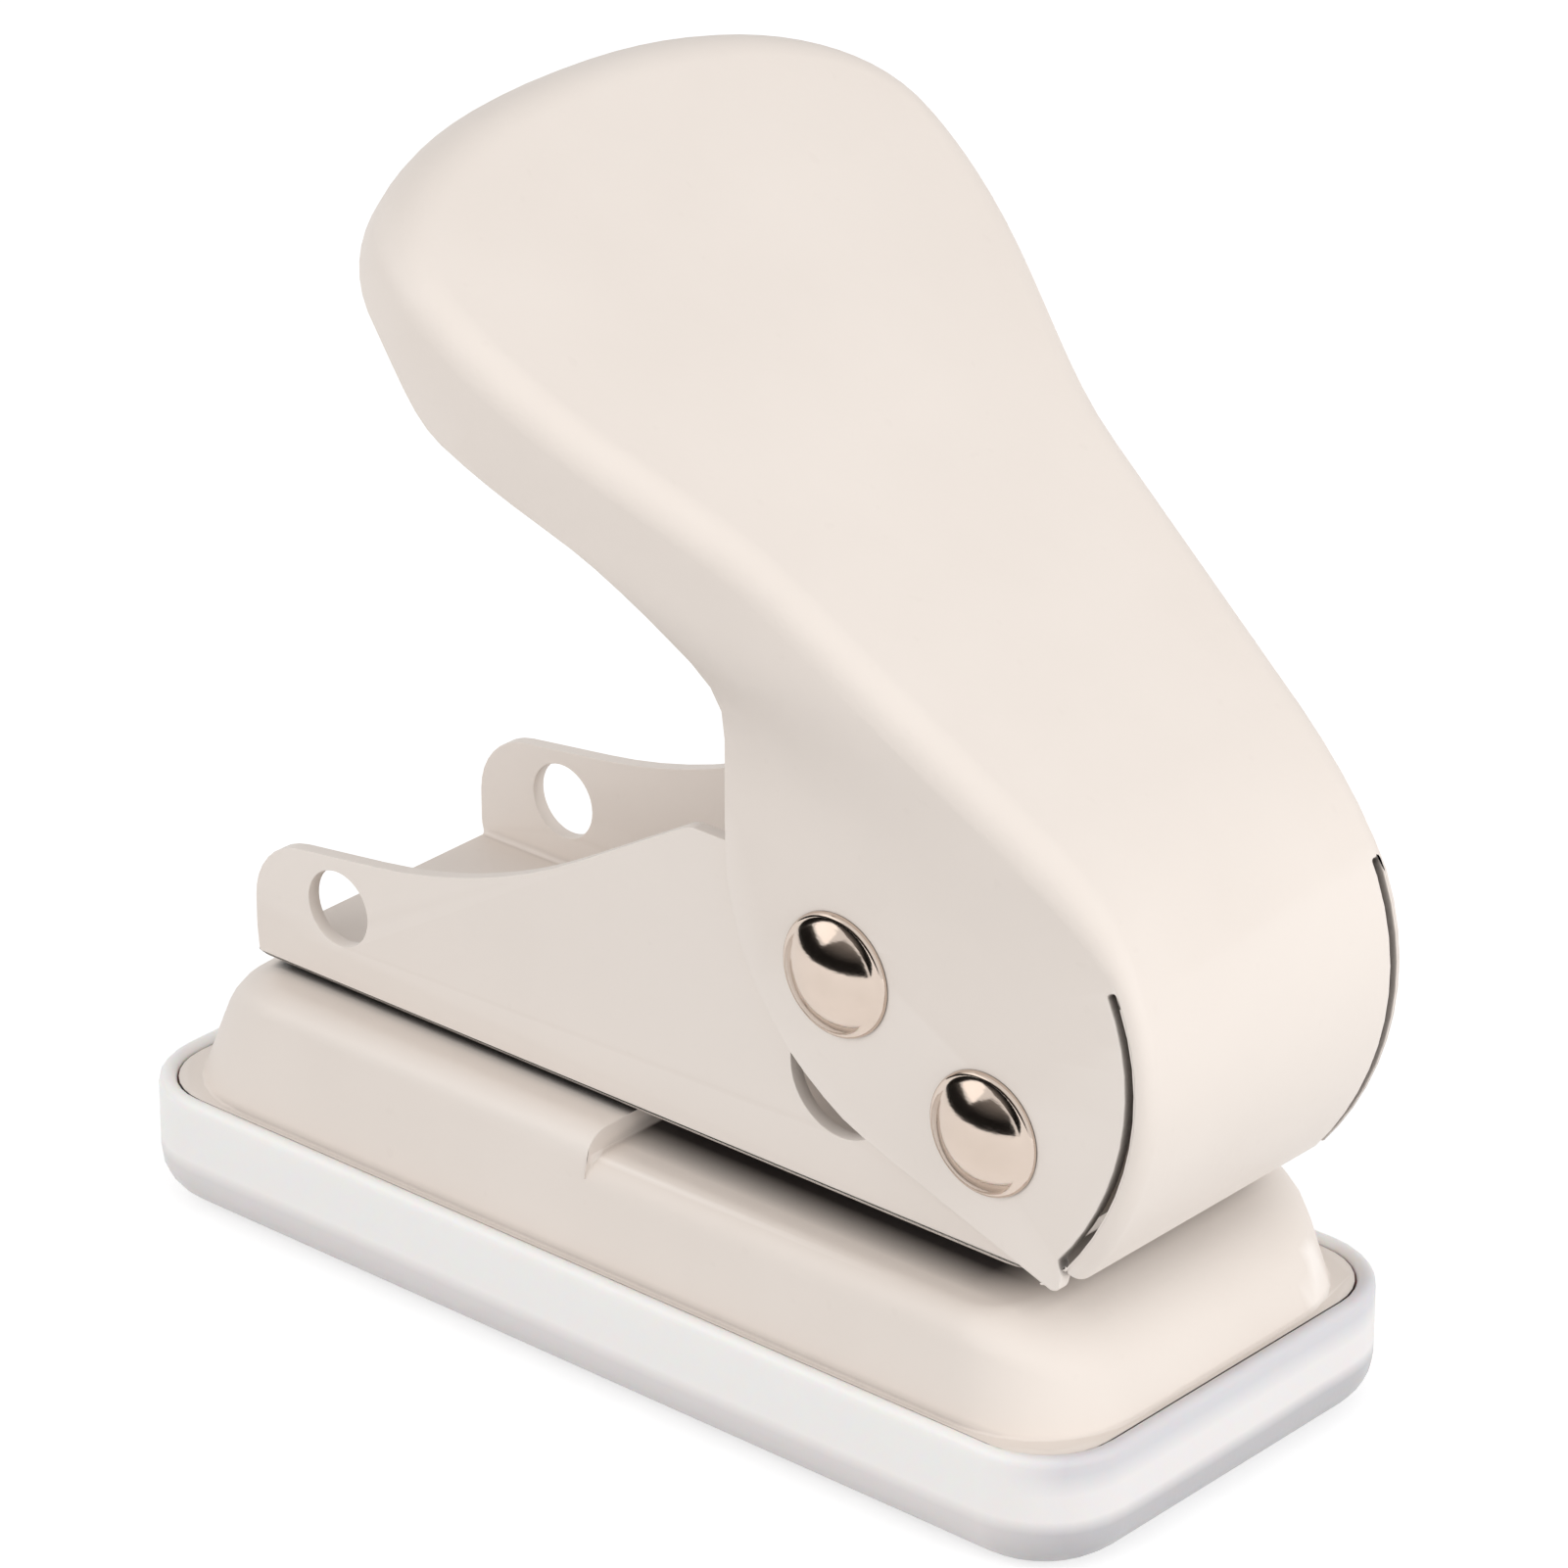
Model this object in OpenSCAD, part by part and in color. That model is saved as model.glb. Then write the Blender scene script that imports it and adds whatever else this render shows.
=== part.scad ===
// Single hole punch: a pressed steel base in a clear chip tray, a U-shaped frame on its deck,
// a stamped lever on a cross pin, and a sprung punch that the lever's second pin drives down.
// Millimetres. X runs towards the paper mouth, Z is up, the origin is the middle of the tray's underside.

/* [Chip tray] */
// Length of the tray
tray_l = 78; // [74:0.5:100]
// Width of the tray
tray_w = 34.5; // [33:0.5:50]
// Height of the tray's lip
tray_h = 8.1; // [7.2:0.1:10]
// Corner radius of the tray in plan
tray_corner_r = 6.2; // [4.5:0.1:9]
// Wall of the lip round the base
tray_wall = 1.2; // [0.8:0.1:2]
// Floor of the tray
tray_floor = 1.4; // [0.8:0.1:2.5]
// Rounding of the tray's lower edge
tray_edge_r = 3; // [1:0.1:3.5]
// Height of the ledge that carries the base
ledge_h = 5; // [4:0.1:6]
// Width of the ledge
ledge_w = 1.4; // [1:0.1:2.2]
// Cove between floor and inside wall
tray_cove = 1; // [0.5:0.1:1.5]

/* [Base] */
// Height of the deck under the frame
deck_h = 16.5; // [15:0.1:20]
// Height of the paper mouth between bed and frame
mouth_h = 2; // [1.5:0.1:3]
// Place of the step from the deck down to the paper bed
step_x = -0.5; // [-4:0.1:3]
// Sheet of the base
base_sheet = 1; // [0.7:0.05:1.3]
// Width of the brim round its foot
brim_w = 0.6; // [0.4:0.05:2]
// Corner radius of the drawn body in plan
body_corner_r = 7.2; // [5:0.1:8]
// Lean of the drawn sides in degrees
base_draft = 4; // [2:0.5:6]
// Rounding of the drawn top edges
base_edge_r = 4.6; // [3:0.1:6]
// Play of the base inside the tray's lip
base_play = 0.2; // [0.1:0.05:0.4]
// Gap under the base's rim where it sits on the ledge
seat_gap = 0.1; // [0.05:0.05:0.2]

/* [Frame] */
// Width over the two cheeks
frame_w = 21.8; // [20:0.1:24]
// Sheet of the frame
frame_sheet = 1; // [0.8:0.05:1.3]
// Outer radius of the folds between floor and cheeks
frame_fold_r = 1.3; // [1.3:0.1:2]
// Reach of the ears in front of the middle
frame_front = 32.4; // [31:0.1:35]
// Reach of the cheeks behind the middle
frame_back = 33.5; // [32.5:0.1:34]
// Height of the cheeks over the deck
cheek_h = 20.8; // [20:0.1:22]
// Front end of the cheeks' level top
crest_x = 4.6; // [3:0.1:6]
// Low corner of the swept edge, in front of the middle
sweep_x = 12.5; // [10:0.1:15]
// Height of that corner over the deck
sweep_h = 10.8; // [10:0.1:12]
// Radius of the swept edge
sweep_r = 47; // [20:1:48]
// Radius of the cheeks' front lower corner
cheek_toe_r = 2; // [1:0.1:3]
// Radius of the cheeks' rear lower corner
cheek_heel_r = 5.5; // [4:0.1:6]
// Radius of the cheeks' rear upper corner
cheek_crown_r = 9; // [7:0.1:10]
// Radius at the front end of the level top
crest_r = 2; // [1:0.1:3]
// Height of the ear at its front corner
ear_h = 8.1; // [7.8:0.1:9]
// Radius of the ear's upper corner
ear_r = 5; // [4:0.1:5.5]
// Bore of the holes in the ears
ear_hole_d = 5.1; // [4:0.1:5.5]
// Ear hole behind the ear's front end
ear_hole_in = 7.3; // [7:0.1:9]
// Ear hole over the deck
ear_hole_h = 5.5; // [4.8:0.1:6]

/* [Lever] */
// Sheet of the lever
lever_sheet = 1; // [0.8:0.05:1.2]
// Play between a lever wall and a cheek
lever_play = 0.3; // [0.2:0.05:0.5]
// Pivot behind the middle
pivot_x = 28.9; // [27:0.1:30]
// Pivot over the deck
pivot_h = 9.1; // [8.8:0.1:10]
// Slope of the lever's top at rest, in degrees
lever_tilt = 34.9; // [32:0.1:38]
// Turn of the lever when it is pressed, in degrees
lever_turn = 22; // [18:0.5:23]
// Distance from the pivot up to the lever's top
lever_rise = 18.8; // [18:0.1:21]
// Reach from the pivot to the thumb end, along the top
lever_reach = 66.4; // [63:0.1:75]
// Width of the thumb pad
pad_w = 45.4; // [36:0.1:52]
// Length of the pad's rounded end
pad_end = 13; // [11:0.1:15]
// Run of the flange between the side walls and that end
flange_run = 4.7; // [3:0.1:6]
// Fullness of the rounded end, 2 for an ellipse and more for a squarer one
pad_full = 2.3; // [2:0.05:3.5]
// Widening of the top along its length before the flare, per millimetre and side
top_taper = 0.13; // [0.05:0.01:0.18]
// Start of the flare, from the pivot
flare_from = 29; // [24:0.5:32]
// End of the flare, from the pivot
flare_to = 53.5; // [48:0.5:57]
// Depth of the flange along the pad
flange_h = 7.1; // [6:0.1:8.5]
// Depth of the flange round the thumb end
tip_flange_h = 5; // [4.6:0.1:6]
// Rounding of the folded edges
fold_r = 2.2; // [1.6:0.1:3]
// Rounding of the fold at the thumb end
tip_fold_r = 3.6; // [3:0.1:4.4]
// Flat of the side walls round the pins, above the pivot
pin_flat = 4.3; // [4:0.1:6]
// Front edge of the side walls, in front of the pivot
wall_front = 20.3; // [19:0.1:21]
// Radius between flange and front edge
throat_r = 15; // [10:0.5:16]
// Lower front corner of the side walls, below the pivot
toe_drop = 0; // [-1:0.1:1]
// Radius of that corner
toe_r = 17.4; // [13:0.1:18]
// Heel of the side walls, behind the pivot
heel_x = 5.6; // [5:0.1:6.5]
// Heel of the side walls, below the pivot
heel_drop = 8.8; // [8.2:0.1:9]
// Radius of the heel
heel_r = 0.6; // [0.4:0.1:1.5]
// Start of the rolled back, from the pivot along the top
back_from = 8.5; // [8:0.1:10]
// Swell of the rolled back at its top
back_swell_top = 14; // [12:0.5:16]
// Swell of the rolled back at its foot
back_swell_foot = 10.2; // [8:0.1:12]
// Lower edge of the rolled back, behind the heel
back_foot_x = 1.4; // [1.2:0.1:2]
// Lower edge of the rolled back, above the heel
back_foot_up = 1.2; // [1:0.1:2]
// Lean of the rolled back at that edge, in degrees
back_lean = 50.3; // [46:0.1:55]
// Width of the slits beside the rolled back
slit_w = 0.6; // [0.4:0.05:0.9]
// Share of the rolled back that the slits reach up
slit_share = 0.72; // [0.5:0.01:0.8]

/* [Pins] */
// Diameter of the pivot pin
pivot_d = 5; // [4:0.1:5.5]
// Outside of the pivot spacer
pivot_tube_d = 7; // [6.5:0.1:8]
// Diameter of the drive pin
drive_d = 4; // [3:0.1:4.2]
// Outside of the drive spacer
drive_tube_d = 5.4; // [5.2:0.1:6]
// Distance between pivot and drive pin
drive_r = 13.2; // [12.5:0.1:14]
// Drive pin above the pivot at rest, in degrees
drive_lift = 29.8; // [28:0.1:32]
// Diameter of the domed heads
head_d = 8; // [7.5:0.1:9]
// Height of the domed heads
head_h = 1.9; // [1.4:0.1:2.2]
// Play of a pin in its bore
pin_play = 0.06; // [0.04:0.01:0.1]
// Play of the drive spacer in the cheeks' slots
slot_play = 0.4; // [0.3:0.05:0.6]
// Lower end of the slots over the deck
slot_low = 4; // [3.5:0.1:4.5]

/* [Punch] */
// Diameter of the punched hole
punch_d = 6; // [5:0.1:6.5]
// Depth of the hollow ground in the punch's end
punch_hollow = 0.5; // [0.2:0.1:0.8]
// Diameter of the punch's head
punch_head_d = 11; // [10.8:0.1:12]
// Thickness of the punch's head
punch_head_h = 1.8; // [1.4:0.1:2.2]
// Chamfer round the punch's head
head_chamfer = 0.4; // [0.2:0.1:0.6]
// Gap between drive spacer and punch head
drive_play = 0.25; // [0.2:0.05:0.3]
// Height of the punch's edge above the mouth at rest
punch_rest = 0.5; // [0.3:0.1:0.8]
// Play of the punch in its guide and die
punch_play = 0.08; // [0.05:0.01:0.12]
// Wall of the guide bush
guide_wall = 1; // [0.8:0.05:1.1]
// Diameter of the guide bush's flange
guide_flange_d = 11.6; // [11.2:0.1:13]
// Thickness of the guide bush's flange
guide_flange_h = 1; // [0.7:0.1:1.3]
// Gap left between punch head and guide at full stroke
guide_gap = 0.5; // [0.3:0.05:0.8]
// Outside of the die bush in the bed
die_d = 9.6; // [9:0.1:11]
// Diameter of the die bush's flange below the bed
die_flange_d = 12.4; // [11.8:0.1:14]
// Thickness of that flange
die_flange_h = 1.3; // [1:0.1:1.8]

/* [Return spring] */
// Wire of the spring
wire_d = 0.7; // [0.5:0.05:0.8]
// Play between the spring and the guide bush inside it
coil_play = 0.4; // [0.3:0.05:0.5]
// Turns of the spring
coil_turns = 4.5; // [3.5:0.5:5]

/* [Base rivets] */
// Front rivet in front of the middle
rivet_front = 21; // [19:0.5:24]
// Rear rivet in front of the middle
rivet_rear = 6; // [5:0.5:9]
// Shank of the base rivets
rivet_d = 3; // [2.5:0.1:3.5]
// Head of the base rivets
rivet_head_d = 5.6; // [5:0.1:6.5]
// Height of those heads
rivet_head_h = 0.9; // [0.7:0.1:1.3]

/* [Hidden] */
$fn = 64;

cream = [0.93, 0.9, 0.87];
steel = [0.75, 0.75, 0.77];
clear = [0.86, 0.88, 0.9, 0.7];

corner_n = 8;
edge_n = 6;
fold_n = 6;
mid_n = 3;
wall_n = 36;
pad_n = 4;
end_n = 18;
over = 1;
least_r = 0.1;
slit_lap = 0.05;
heel_lap = 1.1;

bed_h = deck_h - mouth_h;
rim_h = ledge_h + seat_gap;
floor_top = deck_h + frame_sheet;
base_l = tray_l - 2 * (tray_wall + base_play);
base_w = tray_w - 2 * (tray_wall + base_play);
brim_corner_r = tray_corner_r - tray_wall - base_play;
body_l = base_l - 2 * brim_w;
body_w = base_w - 2 * brim_w;
brim_top = rim_h + base_sheet;
cheek_in = frame_w / 2 - frame_sheet;

pivot_z = deck_h + pivot_h;
wall_out = frame_w / 2 + lever_play + lever_sheet;
wall_in = wall_out - lever_sheet;

drive_x = pivot_x - drive_r * cos(drive_lift);
drive_z = pivot_z + drive_r * sin(drive_lift);
pressed_x = pivot_x - drive_r * cos(drive_lift - lever_turn);
stroke = drive_r * (sin(drive_lift) - sin(drive_lift - lever_turn));
punch_x = (drive_x + pressed_x) / 2;
slot_r = (drive_tube_d + drive_x - pressed_x) / 2 + slot_play;

punch_top = drive_z - drive_tube_d / 2 - drive_play;
head_under = punch_top - punch_head_h;
punch_low = deck_h + punch_rest;
guide_bore = punch_d + 2 * punch_play;
guide_d = guide_bore + 2 * guide_wall;
guide_top = head_under - stroke - guide_gap;
spring_low = floor_top + guide_flange_h;
coil_r = guide_d / 2 + coil_play + wire_d / 2;

// Two-dimensional helpers

function unit(v) = v / norm(v);

// Round corner b of the path a, b, c, no wider than the two edges allow
function fillet(a, b, c, r, n = 8) =
    let (
        e1 = unit(a - b),
        e2 = unit(c - b),
        half = acos(e1 * e2) / 2,
        t = min(r / tan(half), 0.49 * norm(a - b), 0.49 * norm(c - b)),
        round_r = t * tan(half),
        m = b + unit(e1 + e2) * round_r / sin(half),
        from = b + e1 * t - m,
        to = b + e2 * t - m,
        a0 = atan2(from.y, from.x),
        turn = (atan2(to.y, to.x) - a0 + 540) % 360 - 180
    )
    [for (k = [0:n]) m + round_r * [cos(a0 + turn * k / n), sin(a0 + turn * k / n)]];

// Closed outline with a radius at each corner
function rounded(pts, rs, n = 8) =
    let (m = len(pts))
    [for (i = [0:m - 1]) each fillet(pts[(i + m - 1) % m], pts[i], pts[(i + 1) % m], rs[i], n)];

// Step from 0 to 1 that starts and ends level
function smooth(t) = let (c = min(max(t, 0), 1)) c * c * (3 - 2 * c);

function path_lengths(p, i = 0, sum = 0, out = []) =
    i == len(p) ? out
    : let (s = i == 0 ? 0 : sum + norm(p[i] - p[i - 1])) path_lengths(p, i + 1, s, concat(out, [s]));

// Point at a share f of a path's length
function along(p, lengths, f) =
    let (
        want = f * lengths[len(p) - 1],
        after = [for (i = [1:len(p) - 1]) if (lengths[i] >= want - 0.000001) i],
        i = len(after) > 0 ? after[0] : len(p) - 1,
        t = (want - lengths[i - 1]) / (lengths[i] - lengths[i - 1])
    )
    p[i - 1] + (p[i] - p[i - 1]) * t;

// Solid helpers

module along_y(y0, y1) {
    translate([0, y1, 0]) rotate([90, 0, 0]) linear_extrude(y1 - y0) children();
}

module along_x(x0, x1) {
    translate([x0, 0, 0]) rotate([90, 0, 90]) linear_extrude(x1 - x0) children();
}

module cross_bar(x, z, d, l) {
    translate([x, 0, z]) rotate([90, 0, 0]) cylinder(d = d, h = l, center = true);
}

module half_space(from_x, to_x) {
    translate([from_x, -tray_w, -over]) cube([to_x - from_x, 2 * tray_w, 2 * deck_h]);
}

// One level of a rounded rectangle
function ring(l, w, r, z) =
    [for (c = [0:3], k = [0:corner_n])
        let (a = 90 * c + 90 * k / corner_n, sx = c == 0 || c == 3 ? 1 : -1, sy = c < 2 ? 1 : -1)
        [sx * (l / 2 - r) + r * cos(a), sy * (w / 2 - r) + r * sin(a), z]];

// Wall profile of [inset, height] pairs carried round a rounded rectangle
module drawn(l, w, r, profile) {
    n = 4 * (corner_n + 1);
    last = len(profile) - 1;
    points = [for (p = profile) each ring(l - 2 * p.x, w - 2 * p.x, max(r - p.x, 4 * least_r), p.y)];
    sides = [for (i = [0:last - 1], k = [0:n - 1])
        let (a = i * n + k, b = i * n + (k + 1) % n)
        each [[a, a + n, b + n], [a, b + n, b]]];
    under = [[for (k = [0:n - 1]) k]];
    top = [[for (k = [n - 1:-1:0]) last * n + k]];
    polyhedron(points, concat(sides, under, top));
}

// Chip tray

module chip_tray() {
    rim_r = tray_wall / 2;
    inner = tray_wall + ledge_w;
    lower_edge = [for (k = [0:edge_n])
        let (a = 90 * k / edge_n) [tray_edge_r * (1 - sin(a)), tray_edge_r * (1 - cos(a))]];
    lip = [for (k = [0:edge_n])
        let (a = 180 * k / edge_n) [rim_r * (1 - cos(a)), tray_h - rim_r + rim_r * sin(a)]];
    inside = [
        [tray_wall, ledge_h],
        [inner, ledge_h],
        [inner, tray_floor + tray_cove],
        [inner + tray_cove, tray_floor]
    ];
    color(clear) drawn(tray_l, tray_w, tray_corner_r, concat(lower_edge, lip, inside));
}

// Base

// Drawn form up to a level top, set in by the sheet where it is the hollow
module base_form(top, inset, foot) {
    lean = tan(base_draft);
    corner = inset + (top - brim_top) * lean;
    edge_r = min(base_edge_r, 0.8 * (top - brim_top)) - inset;
    low = [corner - 2 * top * lean, -top];
    edge = fillet(low, [corner, top], [body_w, top], edge_r, edge_n);
    drawn(body_l, body_w, body_corner_r, concat([[inset, foot], [inset, brim_top]], edge));
}

// Deck and bed forms meeting at the step
module stepped_form(inset, foot, at_x) {
    intersection() {
        base_form(deck_h - inset, inset, foot);
        half_space(-tray_l, at_x);
    }
    intersection() {
        base_form(bed_h - inset, inset, foot);
        half_space(at_x, tray_l);
    }
}

module base_shell() {
    color(cream) difference() {
        union() {
            stepped_form(0, rim_h, step_x);
            drawn(base_l, base_w, brim_corner_r, [[0, rim_h], [0, brim_top]]);
        }
        stepped_form(base_sheet, rim_h - over, step_x - base_sheet);
        translate([punch_x, 0, rim_h]) cylinder(d = die_d, h = deck_h);
        for (x = [rivet_front, rivet_rear])
            translate([-x, 0, rim_h]) cylinder(d = rivet_d + 2 * pin_play, h = deck_h);
    }
}

module die_bush() {
    under = bed_h - base_sheet;
    color(steel) difference() {
        union() {
            translate([punch_x, 0, under]) cylinder(d = die_d - 2 * pin_play, h = base_sheet);
            translate([punch_x, 0, under - die_flange_h]) cylinder(d = die_flange_d, h = die_flange_h);
        }
        translate([punch_x, 0, under - die_flange_h - over])
            cylinder(d = punch_d + 2 * punch_play, h = deck_h);
    }
}

// Frame

module cheek_outline() {
    low = deck_h;
    polygon(rounded([
        [-frame_front, low],
        [frame_back, low],
        [frame_back, low + cheek_h],
        [crest_x, low + cheek_h],
        [-sweep_x, low + sweep_h],
        [-frame_front, low + ear_h]
    ], [cheek_toe_r, cheek_heel_r, cheek_crown_r, crest_r, sweep_r, ear_r]));
}

module channel_section() {
    half = frame_w / 2;
    tall = cheek_h + over;
    inner_r = max(frame_fold_r - frame_sheet, least_r);
    outer = rounded([[-half, 0], [half, 0], [half, 2 * tall], [-half, 2 * tall]],
        [frame_fold_r, frame_fold_r, least_r, least_r], fold_n);
    inner = rounded([
        [-cheek_in, frame_sheet],
        [cheek_in, frame_sheet],
        [cheek_in, 3 * tall],
        [-cheek_in, 3 * tall]
    ], [inner_r, inner_r, least_r, least_r], fold_n);
    difference() {
        polygon(outer);
        polygon(inner);
    }
}

module slot_outline() {
    top = drive_z + drive_tube_d / 2 + slot_play;
    translate([punch_x, deck_h + slot_low + slot_r]) circle(r = slot_r);
    translate([punch_x, top - slot_r + slot_play]) circle(r = slot_r);
    translate([punch_x - slot_r, deck_h + slot_low + slot_r])
        square([2 * slot_r, top + slot_play - 2 * slot_r - deck_h - slot_low]);
}

module frame() {
    color(cream) difference() {
        intersection() {
            along_y(-frame_w / 2, frame_w / 2) cheek_outline();
            translate([0, 0, deck_h]) along_x(-frame_front - over, frame_back + over) channel_section();
        }
        along_y(-frame_w, frame_w) slot_outline();
        cross_bar(ear_hole_in - frame_front, deck_h + ear_hole_h, ear_hole_d, 2 * frame_w);
        cross_bar(pivot_x, pivot_z, pivot_d + 2 * pin_play, 2 * frame_w);
        translate([punch_x, 0, deck_h - over])
            cylinder(d = guide_d + 2 * pin_play, h = frame_sheet + 2 * over);
        for (x = [rivet_front, rivet_rear])
            translate([-x, 0, deck_h - over])
                cylinder(d = rivet_d + 2 * pin_play, h = frame_sheet + 2 * over);
    }
}

// Rivet through floor and deck, with a low head on each side
module base_rivet(x) {
    grip = base_sheet + frame_sheet;
    shank_low = deck_h - base_sheet;
    color(steel) translate([-x, 0, shank_low]) union() {
        cylinder(d = rivet_d, h = grip);
        translate([0, 0, grip]) cylinder(d1 = rivet_head_d, d2 = rivet_d, h = rivet_head_h);
        translate([0, 0, -rivet_head_h]) cylinder(d1 = rivet_d, d2 = rivet_head_d, h = rivet_head_h);
    }
}

module front_base_rivet() {
    base_rivet(rivet_front);
}

module rear_base_rivet() {
    base_rivet(rivet_rear);
}

module guide_bush() {
    color(steel) translate([punch_x, 0, 0]) difference() {
        union() {
            translate([0, 0, deck_h]) cylinder(d = guide_d, h = guide_top - deck_h);
            translate([0, 0, floor_top]) cylinder(d = guide_flange_d, h = guide_flange_h);
        }
        translate([0, 0, deck_h - over]) cylinder(d = guide_bore, h = guide_top);
    }
}

module pivot_spacer() {
    color(steel) difference() {
        cross_bar(pivot_x, pivot_z, pivot_tube_d, 2 * (cheek_in - pin_play));
        cross_bar(pivot_x, pivot_z, pivot_d + 2 * pin_play, frame_w);
    }
}

// Punch and spring

module punch() {
    color(steel) translate([punch_x, 0, 0]) rotate_extrude() polygon([
        [0, punch_low + punch_hollow],
        [punch_d / 2, punch_low],
        [punch_d / 2, head_under],
        [punch_head_d / 2, head_under],
        [punch_head_d / 2, punch_top - head_chamfer],
        [punch_head_d / 2 - head_chamfer, punch_top],
        [0, punch_top]
    ]);
}

coil_n = 8;
coil_rings = coil_n * coil_turns;
coil_low = spring_low + wire_d / 2;
coil_high = head_under - wire_d / 2;

function coil_at(k) =
    let (a = 360 * k / coil_n, f = k / coil_rings)
    [punch_x + coil_r * cos(a), coil_r * sin(a), coil_low + (coil_high - coil_low) * f];

next_turn = 3 * coil_n / 4;
coil_gap = min([for (i = [0:coil_rings - next_turn], j = [i + next_turn:coil_rings])
    norm(coil_at(i) - coil_at(j)) - wire_d]);
echo(spring_gap_to_itself = coil_gap);

module return_spring() {
    sides = 6;
    points = [for (k = [0:coil_rings], s = [0:sides - 1])
        let (a = 360 * k / coil_n, b = 360 * s / sides, out = wire_d / 2 * cos(b))
        coil_at(k) + [out * cos(a), out * sin(a), wire_d / 2 * sin(b)]];
    skin = [for (k = [0:coil_rings - 1], s = [0:sides - 1])
        let (a = k * sides + s, b = k * sides + (s + 1) % sides)
        each [[a, b, b + sides], [a, b + sides, a + sides]]];
    start = [[for (s = [sides - 1:-1:0]) s]];
    end = [[for (s = [0:sides - 1]) coil_rings * sides + s]];
    color(steel) polyhedron(points, concat(skin, start, end));
}

// Lever, drawn in a side plane with the pivot at [0, 0] and u towards the mouth

slope = [-cos(lever_tilt), sin(lever_tilt)];
outward = [sin(lever_tilt), cos(lever_tilt)];
pad_from = lever_reach - pad_end;
wall_from = pad_from - flange_run;
flange_rise = lever_rise - flange_h;

function on_slope(q, p) = slope * q + outward * p;

function half_width(q) =
    let (s = smooth((q - flare_from) / (flare_to - flare_from)))
    wall_out + top_taper * max(q, 0) * (1 - s) + (pad_w / 2 - wall_out) * s;

function flange_at(q) =
    flange_h - (flange_h - tip_flange_h) * smooth((q - wall_from) / (flange_run + pad_end / 4));

heel = [heel_x, -heel_drop];
back_foot = heel + [back_foot_x, back_foot_up];
back_top = on_slope(back_from, lever_rise);

// Cubic that rolls from the top down the back
function back_at(t) =
    let (
        b1 = back_top - slope * back_swell_top,
        b2 = back_foot + back_swell_foot * [cos(back_lean), sin(back_lean)]
    )
    back_top * pow(1 - t, 3) + 3 * b1 * t * pow(1 - t, 2) + 3 * b2 * t * t * (1 - t) + back_foot * pow(t, 3);

function back_inward(t) =
    let (e = unit(back_at(min(t + 0.01, 1)) - back_at(max(t - 0.01, 0)))) [e.y, -e.x];

top_path = concat([on_slope(wall_from, lever_rise)], [for (k = [0:24]) back_at(k / 24)]);
toe = [-wall_front, -toe_drop];
throat_q = (flange_rise * sin(lever_tilt) + wall_front) / cos(lever_tilt);
throat = on_slope(throat_q, flange_rise);
low_start = on_slope(wall_from, flange_rise);
low_path = concat(
    [low_start],
    fillet(low_start, throat, toe, throat_r),
    fillet(throat, toe, heel, toe_r),
    [heel + unit(toe - heel) * heel_lap]
);
top_lengths = path_lengths(top_path);
low_lengths = path_lengths(low_path);
line_share = top_lengths[1] / top_lengths[len(top_path) - 1];

// Half width of the side walls: flat round the pins, full at the top and along the flange
function side_width(uv) =
    let (
        q = uv * slope,
        under = flange_h * (1 - smooth((q - flare_from / 2) / (throat_q - flare_from / 2))),
        full = flange_rise + under
    )
    wall_out + (half_width(q) - wall_out) * smooth((uv * outward - pin_flat) / (full - pin_flat));

// Points up a side wall between its lower edge and its fold
function wall_between(low, fold) =
    [for (k = [1:mid_n])
        let (uv = low + (fold - low) * k / (mid_n + 1))
        [uv.x, side_width(uv), uv.y]];

// Station of the shell: corner, in-plane inward way, inward way, fold radius, lower edge, points between
function wall_station(f) =
    let (
        low = along(low_path, low_lengths, f),
        on_back = f > line_share,
        t = (f - line_share) / (1 - line_share),
        q = wall_from + (back_from - wall_from) * f / line_share,
        flare = half_width(q + 0.5) - half_width(q - 0.5),
        side = unit([flare, -1]),
        corner = on_back ? back_at(t) : on_slope(q, lever_rise),
        inward = on_back ? back_inward(t) : -outward,
        back_r = fold_r + (lever_sheet + least_r - fold_r) * smooth((t - 0.05) / (1 - slit_share)),
        r = on_back ? back_r : fold_r
    )
    [
        [corner.x, side_width(corner), corner.y],
        on_back ? [0, -1, 0] : [slope.x * side.x, side.y, slope.y * side.x],
        [inward.x, 0, inward.y],
        r,
        [low.x, side_width(low), low.y],
        wall_between(low, corner + inward * r)
    ];

function pad_point(a) =
    [
        pad_from + pad_end * pow(sin(a), 2 / pad_full),
        half_width(pad_from) * pow(max(cos(a), 0), 2 / pad_full)
    ];

function flange_station(qy, side, depth) =
    let (
        corner = on_slope(qy.x, lever_rise),
        low = on_slope(qy.x, lever_rise - depth),
        r = fold_r + (tip_fold_r - fold_r) * smooth((qy.x - pad_from) / pad_end)
    )
    [
        [corner.x, qy.y, corner.y],
        [slope.x * side.x, side.y, slope.y * side.x],
        [-outward.x, 0, -outward.y],
        r,
        [low.x, qy.y, low.y],
        [for (k = [1:mid_n])
            let (uv = low + (corner - outward * r - low) * k / (mid_n + 1))
            [uv.x, qy.y, uv.y]]
    ];

function pad_station(k) =
    let (
        q = wall_from + flange_run * k / pad_n,
        flare = half_width(q + 0.5) - half_width(q - 0.5)
    )
    flange_station([q, half_width(q)], unit([flare, -1]), flange_at(q));

function end_station(k) =
    let (
        a = 90 * k / end_n,
        way = unit(pad_point(min(a + 0.5, 90)) - pad_point(max(a - 0.5, 0))),
        side = k == end_n ? [-1, 0] : [way.y, -way.x],
        qy = pad_point(a)
    )
    flange_station(k == end_n ? [lever_reach, 0] : qy, side, flange_at(qy.x));

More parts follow.
